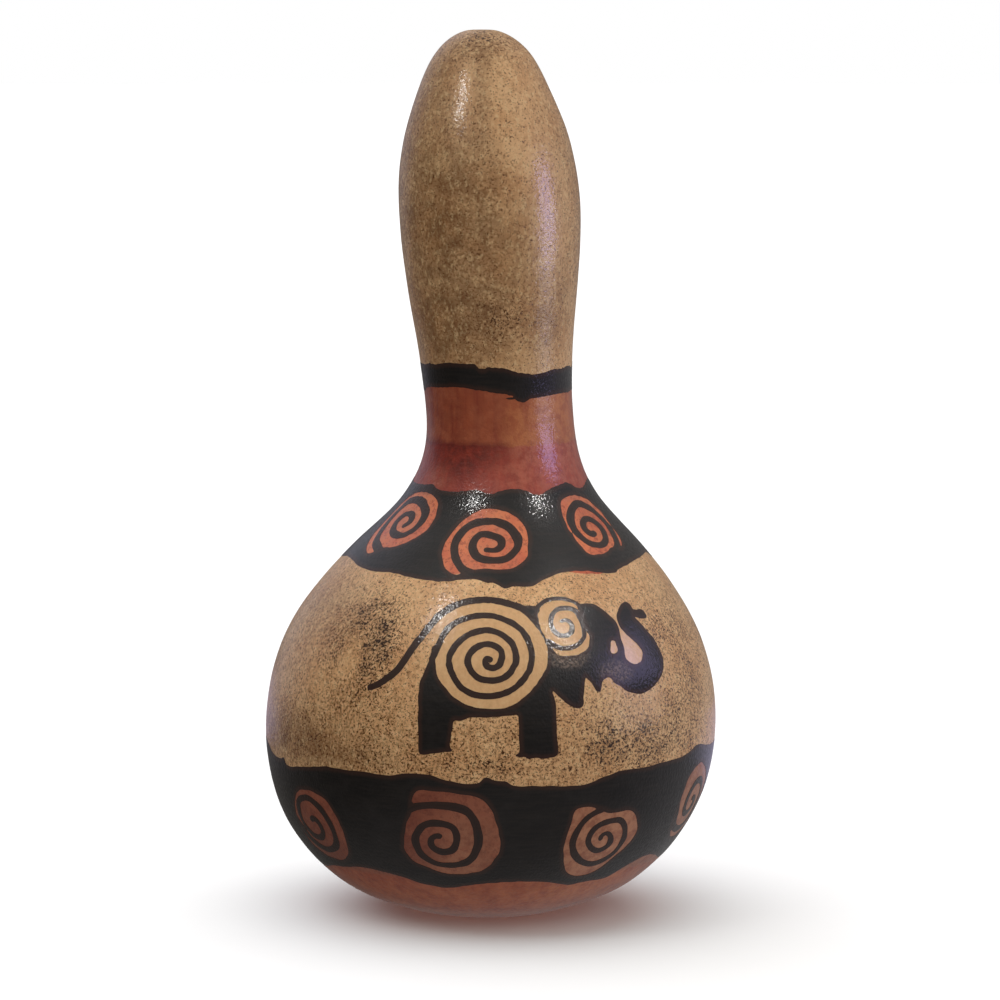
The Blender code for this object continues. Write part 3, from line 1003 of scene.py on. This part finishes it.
# %% The terracotta stain, in two coats
ragged = skin.minus(skin.noise(2.2), 0.5)
stained = skin.ramp(skin.plus(skin.kept("stain_depth"), ragged), -0.12, 0.18)
streaks = skin.noise(1.6, 3, 0.6, skin.stretched((0.75, 0.75, 0.07)))
wash = skin.tint(shade(172, 86, 54), shade(148, 66, 44), streaks, 0.35, 0.7)
wash = skin.tint(wash, shade(194, 112, 76), cloudy, 0.4, 0.7, 0, 0.5)
coat_edge = skin.plus(skin.kept("second_coat_depth"), skin.times(ragged, 1.6))
second_coat = skin.ramp(coat_edge, -0.25, 0.35)
second_wash = skin.tint(shade(170, 64, 44), shade(140, 44, 32), streaks, 0.3, 0.75)
wash = skin.mix(second_coat, wash, second_wash)
pale_stain_and_light = skin.kept("pale_stain_and_light")
from_edge = skin.put("Math", {0: coat_edge}, operation="ABSOLUTE")
tide_line = skin.times(skin.ramp(from_edge, 0, 1.6, 0.6, 0), skin.ramp(pale_stain_and_light, 0.1, 0.7, 1, 0.15))
wash = skin.mix(tide_line, wash, shade(112, 36, 30))
print("nodes with the stain:", len(skin.tree.nodes))

# %% [markdown]
# The patches in the bands are bright orange on the shoulder and browner below. The clouds of dark and pale
# stain break up both coats and the patches, through blotches of noise. On the waist the dark clouds on the
# left are partly painted shade and the pale clouds on the right partly painted light.

# %% The patches and the blotches
patch_stain = skin.ramp(skin.kept("patch_stain_depth"), -1, 1)
high_patch = skin.tint(shade(236, 134, 86), shade(218, 108, 74), mottle, 0.35, 0.65)
high_patch = skin.tint(high_patch, shade(158, 62, 46), fine_mottle, 0.5, 0.62, 0, 0.6)
low_patch = skin.tint(shade(162, 94, 68), shade(138, 76, 54), mottle, 0.35, 0.65)
low_patch = skin.tint(low_patch, shade(112, 56, 40), fine_mottle, 0.5, 0.62, 0, 0.5)
height = skin.put("SeparateXYZ", {0: skin.place}, output="Z")
wash = skin.mix(patch_stain, wash, skin.tint(low_patch, high_patch, height, 80, 100))
blotches = skin.ramp(skin.noise(2.6, 3, 0.65), 0.36, 0.62, 0.35, 1)
dark_share = skin.times(skin.kept("dark_stain_and_shade"), blotches, skin.ramp(second_coat, 0, 1, 0.45, 1))
wash = skin.mix(dark_share, wash, shade(104, 34, 24))
# paler stain, and on the right of the waist also painted light
pale_wash_and_light = skin.mix(patch_stain, shade(214, 136, 84), shade(208, 148, 112))
pale_wash_and_light = skin.mix(second_coat, pale_wash_and_light, shade(210, 124, 96))
wash = skin.mix(skin.times(pale_stain_and_light, blotches), wash, pale_wash_and_light)
colour = skin.mix(stained, tan, wash)
print("nodes with the patches:", len(skin.tree.nodes))

# %% [markdown]
# The drops are the peaks of a fine noise that stand above a level. Where a cloud is thick the level sinks,
# so that more and larger peaks come through. Modelled drops would need millions of faces. The drops hardly
# show on the stain, and the bare places of the elephant stay clean.

# %% The spattered drops
cleaned = skin.ramp(skin.kept("clean_depth"), -0.9, 0.3)
colour = skin.mix(skin.times(cleaned, 0.55), colour, shade(232, 186, 132))
open_skin = skin.times(skin.ramp(stained, 0, 1, 1, 0.08), skin.ramp(cleaned, 0, 1, 1, 0))
patchy = skin.ramp(skin.noise(7, 3, 0.6), 0.32, 0.68, 0.65, 1.15)
spatter = skin.times(skin.kept("spatter"), patchy, open_skin)
colour = skin.tint(colour, shade(92, 64, 38), spatter, 0.45, 1, 0, 0.3)


def grains(size, roughness, thickness, bare_level, thick_level, soft_low, soft_high):
    """Grains on the open skin: the peaks of fine noise above a level that sinks where the cloud is thick."""
    level = skin.ramp(thickness, 0, 1, bare_level, thick_level, easing="LINEAR")
    peaks = skin.minus(skin.noise(size, 2, roughness), level)
    return skin.times(skin.ramp(peaks, soft_low, soft_high), open_skin)


dusted = skin.plus(spatter, skin.times(haze_and_shade, 0.45))
brown_stipple = grains(0.8, 0.65, dusted, 0.6, 0.44, -0.02, 0.05)
colour = skin.mix(skin.times(brown_stipple, 0.5), colour, shade(120, 74, 30))
drops = grains(0.6, 0.7, spatter, 0.645, 0.462, -0.005, 0.012)
drop_colour = skin.tint(shade(100, 60, 16), shade(50, 26, 2), spatter, 0.25, 0.7)
colour = skin.mix(drops, colour, drop_colour)
print("nodes with the drops:", len(skin.tree.nodes))

# %% [markdown]
# Last comes the varnish, a clear coat. It dried with fine pits and a slow orange peel, which break every
# highlight into specks, and the drops stand up under it a little.

# %% The varnish over the skin
pits = skin.noise(0.85, 1, 0.6)
orange_peel = skin.noise(3.2, 2, 0.5)
skin.varnished(
    colour, skin.ramp(pits, 0.3, 0.7, 0.4, 0.5),
    relief=skin.plus(skin.times(pits, 1.3), orange_peel, skin.times(drops, 0.15)), relief_height=0.075,
    coat=0.4, coat_roughness=0.15, specular=0.2,
)
skin.put_on(gourd_skin)

# %% [markdown]
# ## The finish of the black paint
#
# The paint is a warm black, brushed round the gourd, so its faint streaks run level. Its coat is smoother
# than the skin's, and the brush left fine ridges and dust in it that break the light. At two places, under
# the ear and at the lower edge of the trunk, it is painted a grainy grey: partly scuffs, partly a painted
# sheen that spreads the highlights there. On its thin edges a little brown shows through.

# %% The paint's finish
# Grey painted at these places: partly scuffs, partly a painted sheen round the highlights under the ear and
# on the trunk.
SCUFF_AND_SHEEN_PLACES = [  # azimuth, distance along, reach in mm, share
    (20.5, 98.8, 7.5, 0.95), (34, 93.5, 7.5, 0.5),
]
SCUFF_AND_SHEEN_CORE = 2.5
PAINT_FILMS = [
    neck_band_paint, shoulder_band_paint, lower_band_paint, elephant_front_paint, elephant_back_paint,
]
paint = Finish("brushed_black_paint")
brush_streaks = paint.noise(0.7, 3, 0.6, paint.stretched((0.09, 0.09, 1)))
cloudy = paint.noise(6, 3, 0.6)
black = paint.tint(shade(18, 15, 14), shade(30, 25, 22), brush_streaks, 0.35, 0.7)
black = paint.tint(black, shade(38, 34, 33), cloudy, 0.45, 0.75, 0, 0.6)
dust = paint.noise(0.6, 1, 0.6, paint.stretched((1, 1, 0.6)))
scuff_and_sheen_grain = paint.ramp(paint.noise(0.7, 2, 0.7), 0.42, 0.62, 0.15, 1)
for azimuth, along, reach, share in SCUFF_AND_SHEEN_PLACES:
    middle = list(wall_point(math.radians(azimuth), along) / MM)
    from_middle = paint.put("VectorMath", {0: paint.place, 1: middle}, operation="SUBTRACT")
    flattened = paint.stretched((1, 1, 1.8), from_middle)
    distance = paint.put("VectorMath", {0: flattened}, output="Value", operation="LENGTH")
    scuff_and_sheen = paint.times(paint.ramp(distance, SCUFF_AND_SHEEN_CORE, reach, share, 0), scuff_and_sheen_grain)
    # the grey mixed in here is partly scuff and partly painted sheen
    black = paint.mix(scuff_and_sheen, black, shade(150, 128, 112))
edge = paint.plus(paint.kept("paint_depth"), paint.times(cloudy, 0.8))
black = paint.tint(black, shade(64, 38, 28), edge, 0.8, 2.1, 0.65, 0)
paint.varnished(
    black, paint.ramp(dust, 0.3, 0.7, 0.36, 0.5),
    relief=paint.plus(paint.times(brush_streaks, 0.08), dust), relief_height=0.095,
    coat=0.35, coat_roughness=0.1, specular=0.16,
)
for film in PAINT_FILMS:
    paint.put_on(film)

# %% [markdown]
# ## Floor, light and camera
#
# The gourd stands on a plain white floor. A gloss varnish mirrors its whole surroundings, and a bright
# floor would turn the black bands grey from below. So the floor is seen by the camera and takes the gourd's
# shadow, but it neither lights the gourd nor shows in the varnish. A faint glow of the room from below
# stands in for it.

# %% The white floor
FLOOR_RADIUS = 6  # in metres
FLOOR_SIDES = 96
floor_rim = swung((0, 0), FLOOR_RADIUS, np.arange(FLOOR_SIDES) * TURN / FLOOR_SIDES)
floor = new_piece("white_floor", [(x, y, 0) for x, y in floor_rim], [tuple(range(FLOOR_SIDES))])
matt = Finish("matt_white_floor")
matt.surface({
    "Base Color": matt.mix(matt.noise(60), (0.86, 0.86, 0.86, 1), (0.84, 0.84, 0.84, 1)), "Roughness": 0.9,
    "Specular IOR Level": 0.1, "Emission Color": (1, 1, 1, 1), "Emission Strength": 0.03,
})
matt.put_on(floor)
floor.visible_diffuse = False
floor.visible_glossy = False
print("floor radius, m:", FLOOR_RADIUS)

# %% [markdown]
# The light is that of a room: a soft bright ceiling, a pale wall on the right, two cooler patches behind, a
# glow from the table below and a dim side towards the camera. The room is the world's colour, which depends
# on the direction: six soft glows on a dim ground. The camera itself sees plain white behind the gourd.

# %% The room around, as seen from the gourd
DIM_ROOM = (0.14, 0.13, 0.12)
GLOWS = [  # towards, where it fades out and where it is full, strength, colour
    ((0.1, -0.1, 1), 0, 0.95, 0.66, (1, 0.97, 0.93)),
    ((1, -0.1, 0.1), 0.3, 1, 0.21, (0.93, 0.91, 1)),
    ((0.72, 0.62, -0.45), 0.5, 0.98, 0.25, (0.95, 0.94, 1)),
    ((-0.55, 0.72, 0.42), 0.78, 0.92, 0.5, (0.75, 0.78, 1)),
    ((0, -0.35, -1), 0.3, 0.95, 0.24, (1, 0.94, 0.96)),
    ((0, -1, -0.15), 0.2, 1, 0.07, (1, 0.96, 0.9)),
]
room = bpy.data.worlds.new("soft_room")
sky = Tree(room)
direction = sky.put("TexCoord", output="Generated")
light = DIM_ROOM
for towards, low, high, strength, colour in GLOWS:
    aim = Vector(towards).normalized()
    facing = sky.put("VectorMath", {0: direction, 1: aim}, output="Value", operation="DOT_PRODUCT")
    glow = sky.scaled(colour, sky.ramp(facing, low, high, 0, strength))
    light = sky.put("VectorMath", {0: light, 1: glow}, operation="ADD")
lit_room = sky.put("Background", {"Color": light, "Strength": 1})
seen_room = sky.put("Background", {"Color": (1, 1, 1, 1), "Strength": 1})
seen = sky.put("LightPath", output="Is Camera Ray")
sky.put("OutputWorld", {"Surface": sky.put("MixShader", {0: seen, 1: lit_room, 2: seen_room})})
bpy.context.scene.world = room
print("glows in the room:", len(GLOWS))

# %% [markdown]
# ### Lamps
#
# The clear highlights come from small lamps, each with a narrow beam turned to the place that it lights.
# Paint and skin answer a lamp differently. So where a highlight crosses from one to the other there is a
# lamp for each, kept apart by light linking: such a lamp lights only the pieces of its collection. These
# lamps show in the gloss alone, and so they leave no pale spot on the tan skin around a highlight.

# %% A soft lamp, and the highlight lamps
def gathered(name, pieces):
    """A collection of pieces that a lamp can light alone."""
    collection = bpy.data.collections.new(name)
    for piece in pieces:
        collection.objects.link(piece)
    return collection


def soft_lamp(name, place, aim, size, power, colour, beam=180, lit_things=None, diffuse=False, glossy=True):
    """A rectangular lamp at a place, turned to light another place, with a beam of some degrees."""
    lamp = bpy.data.lights.new(name, "AREA")
    lamp.shape = "RECTANGLE"
    lamp.size, lamp.size_y = size
    lamp.energy = power
    lamp.color = colour
    lamp.spread = math.radians(beam)
    holder = bpy.data.objects.new(name, lamp)
    holder.location = place
    holder.rotation_mode = "QUATERNION"
    holder.rotation_quaternion = (Vector(aim) - Vector(place)).to_track_quat("-Z", "Y")
    holder.visible_diffuse = diffuse
    holder.visible_glossy = glossy
    if lit_things:
        holder.light_linking.receiver_collection = lit_things
    bpy.context.scene.collection.objects.link(holder)
    return holder


only_the_skin = gathered("only_the_skin", [gourd_skin])
only_the_paint = gathered("only_the_paint", PAINT_FILMS)
LAMP_WHITE = (1, 0.98, 0.96)
FRONT_LEFT, FRONT_RIGHT = (-0.18, -0.19, 0.4), (0.155, -0.165, 0.288)
BACK_SPOT, EAR_SPOT = (-0.013, -0.049, 0.086), (0.018, -0.05, 0.082)
HIGHLIGHT_LAMPS = [  # name, place of the lamp, its aim, width, power in watts, what it lights
    ("neck_highlight_lamp", FRONT_LEFT, (-0.008, -0.017, 0.222), 0.035, 0.0016, only_the_skin),
    ("left_shoulder_lamp", (-0.18, -0.19, 0.48), (-0.005, -0.026, 0.114), 0.022, 0.0025, None),
    ("right_shoulder_lamp", (0.205, -0.13, 0.39), (0.015, -0.026, 0.113), 0.008, 0.0022, only_the_paint),
    ("back_highlight_lamp", FRONT_LEFT, BACK_SPOT, 0.03, 0.0019, only_the_paint),
    ("back_skin_highlight_lamp", FRONT_LEFT, BACK_SPOT, 0.03, 0.0006, only_the_skin),
    ("ear_highlight_lamp", FRONT_RIGHT, EAR_SPOT, 0.03, 0.0027, only_the_paint),
    ("ear_skin_highlight_lamp", FRONT_RIGHT, EAR_SPOT, 0.03, 0.0009, only_the_skin),
]
for name, place, aim, width, power, lit_things in HIGHLIGHT_LAMPS:
    soft_lamp(name, place, aim, (width, 0.04), power, LAMP_WHITE, beam=12, lit_things=lit_things)
print("highlight lamps:", len(HIGHLIGHT_LAMPS))

# %% [markdown]
# A window on the right draws the long cool streak down the neck and the belly. It has one pane for the
# skin, one for the paint and a low one for the skin of the belly. Two lamps lie on the table behind the
# gourd, facing up, and show as cool rims low on the belly.

# %% Window and bright table
WINDOW_PANES = [  # name, place, width and height, power in watts, colour, what it lights
    ("skin_window", (0.3, -0.08, 0.205), (0.12, 0.12), 0.41, (0.49, 0.46, 1), only_the_skin),
    ("paint_window", (0.3, -0.085, 0.19), (0.21, 0.13), 0.31, (0.52, 0.46, 0.9), only_the_paint),
    ("low_window", (0.5, -0.13, 0.09), (0.28, 0.15), 0.34, (0.9, 0.95, 1), only_the_skin),
]
for name, place, size, power, colour, lit_things in WINDOW_PANES:
    soft_lamp(name, place, (0, *place[1:]), size, power, colour, lit_things=lit_things)
BRIGHT_TABLE = [  # name, place, width and length, turn in degrees, power
    ("left_table", (-0.25, 0.42, 0.001), (0.22, 0.44), 27, 0.17),
    ("right_table", (0.16, 0.22, 0.001), (0.17, 0.24), -20, 0.07),
]
facing_up = Quaternion((1, 0, 0), math.pi)
for name, place, size, turn, power in BRIGHT_TABLE:
    lamp = soft_lamp(name, place, place, size, power, (0.66, 0.6, 1))
    lamp.rotation_quaternion = Quaternion((0, 0, 1), math.radians(turn)) @ facing_up
    lamp.visible_camera = False
print("window panes:", len(WINDOW_PANES), "table lamps:", len(BRIGHT_TABLE))

# %% [markdown]
# Two fill lamps lift the front of the belly and the shoulder. They show in no gloss, so no highlight tells
# where they are. A wide sun that lights the floor alone gives the gourd its soft shadow and leaves the
# gourd as it is.

# %% Fill lamps and the floor's sun
soft_lamp("left_fill", FRONT_LEFT, (0, -0.05, 0.085), (0.1, 0.1), 0.0038, (1, 0.99, 1), beam=34,
          diffuse=True, glossy=False)
soft_lamp("top_fill", (0.02, -0.3, 0.36), (0.004, -0.04, 0.101), (0.03, 0.03), 0.0012, LAMP_WHITE, beam=16,
          diffuse=True, glossy=False)
sun = bpy.data.lights.new("floor_sun", "SUN")
sun.energy = 2.3
sun.angle = math.radians(100)
sun.color = (0.96, 0.98, 1)
floor_sun = bpy.data.objects.new("floor_sun", sun)
floor_sun.rotation_euler = (math.radians(-20), math.radians(-15), 0)
floor_sun.light_linking.receiver_collection = gathered("only_the_floor", [floor])
bpy.context.scene.collection.objects.link(floor_sun)
bpy.context.scene.view_settings.view_transform = "Standard"
bpy.context.scene.view_settings.look = "None"
print("lamps in all:", len(bpy.data.lights))

# %% [markdown]
# ### The camera
#
# The camera stands 1.3 m in front of the gourd and looks a little down on it through a long lens. Its
# place, its aim and the lens come from fitting the gourd's outline in the picture.

# %% Camera
CAMERA_PLACE = Vector((0.002536, -1.3, 0.27437))
CAMERA_AIM = Vector((0.002536, 0, 0.111917))
SENSOR_WIDTH, LENS_LENGTH = 36, 172.38  # in mm
camera_data = bpy.data.cameras.new("camera")
camera_data.sensor_width = SENSOR_WIDTH
camera_data.lens = LENS_LENGTH
camera_data.clip_start = 0.05
camera_data.clip_end = 20
camera = bpy.data.objects.new("camera", camera_data)
camera.location = CAMERA_PLACE
camera.rotation_mode = "QUATERNION"
camera.rotation_quaternion = (CAMERA_AIM - CAMERA_PLACE).to_track_quat("-Z", "Y")
bpy.context.scene.collection.objects.link(camera)
bpy.context.scene.camera = camera
print("camera height, m:", round(CAMERA_PLACE.z, 3))
